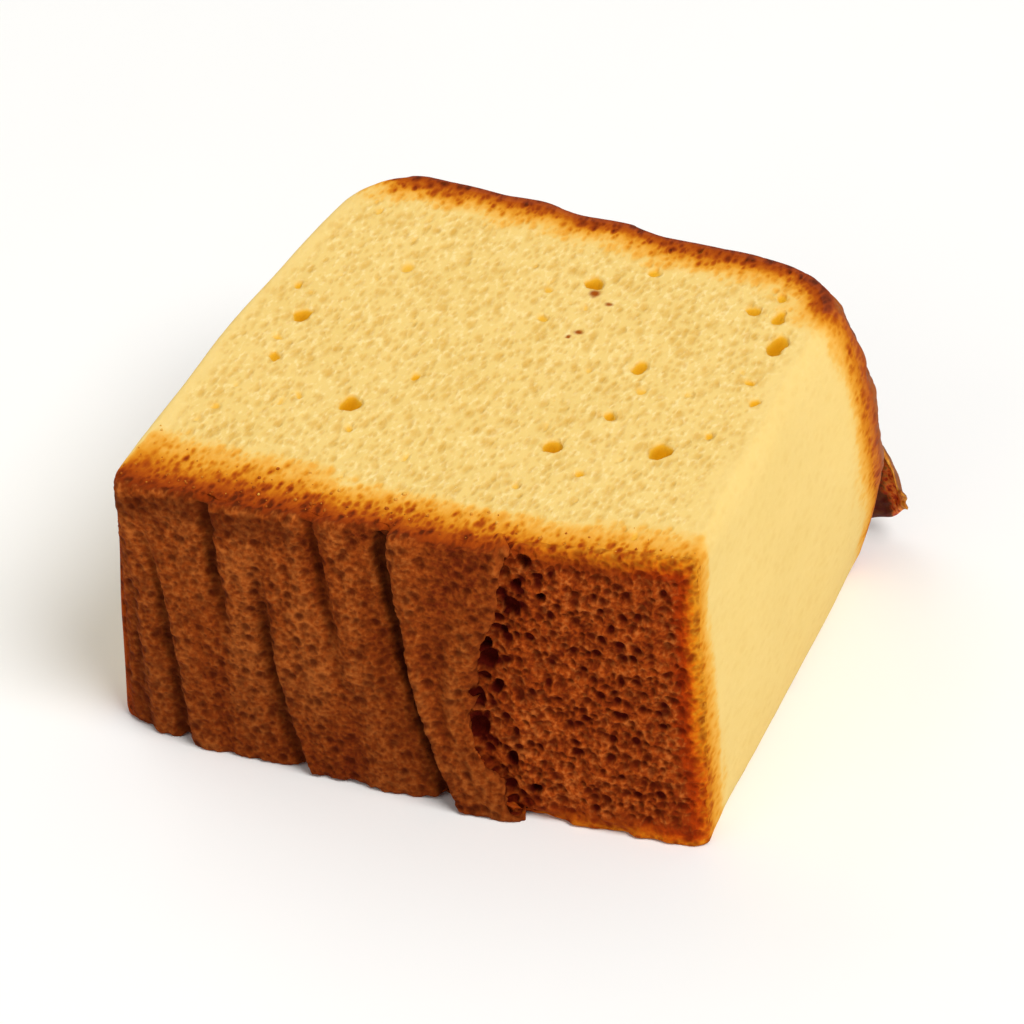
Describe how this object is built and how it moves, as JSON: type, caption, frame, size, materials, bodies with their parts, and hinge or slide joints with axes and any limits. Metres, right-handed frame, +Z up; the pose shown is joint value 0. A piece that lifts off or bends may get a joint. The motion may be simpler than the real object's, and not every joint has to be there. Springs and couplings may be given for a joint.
{
  "type": "castella sponge cake slice",
  "caption": "Thick slice of castella sponge cake lying on its cut face, with a creased brown base crust, a domed top crust and a torn flap of crust.",
  "frame": {"origin": "middle of the slice's box, on the surface that the slice lies on", "axes": "+Z up through the slice's thickness; +X along the base crust; +Y from the base crust to the domed top crust"},
  "size_m": [0.0758, 0.0716, 0.0375],
  "materials": {
    "sponge": "matte, open-pored sponge"
  },
  "bodies": {
    "root": {"castella_slice": "sponge"}
  },
  "joints": []
}
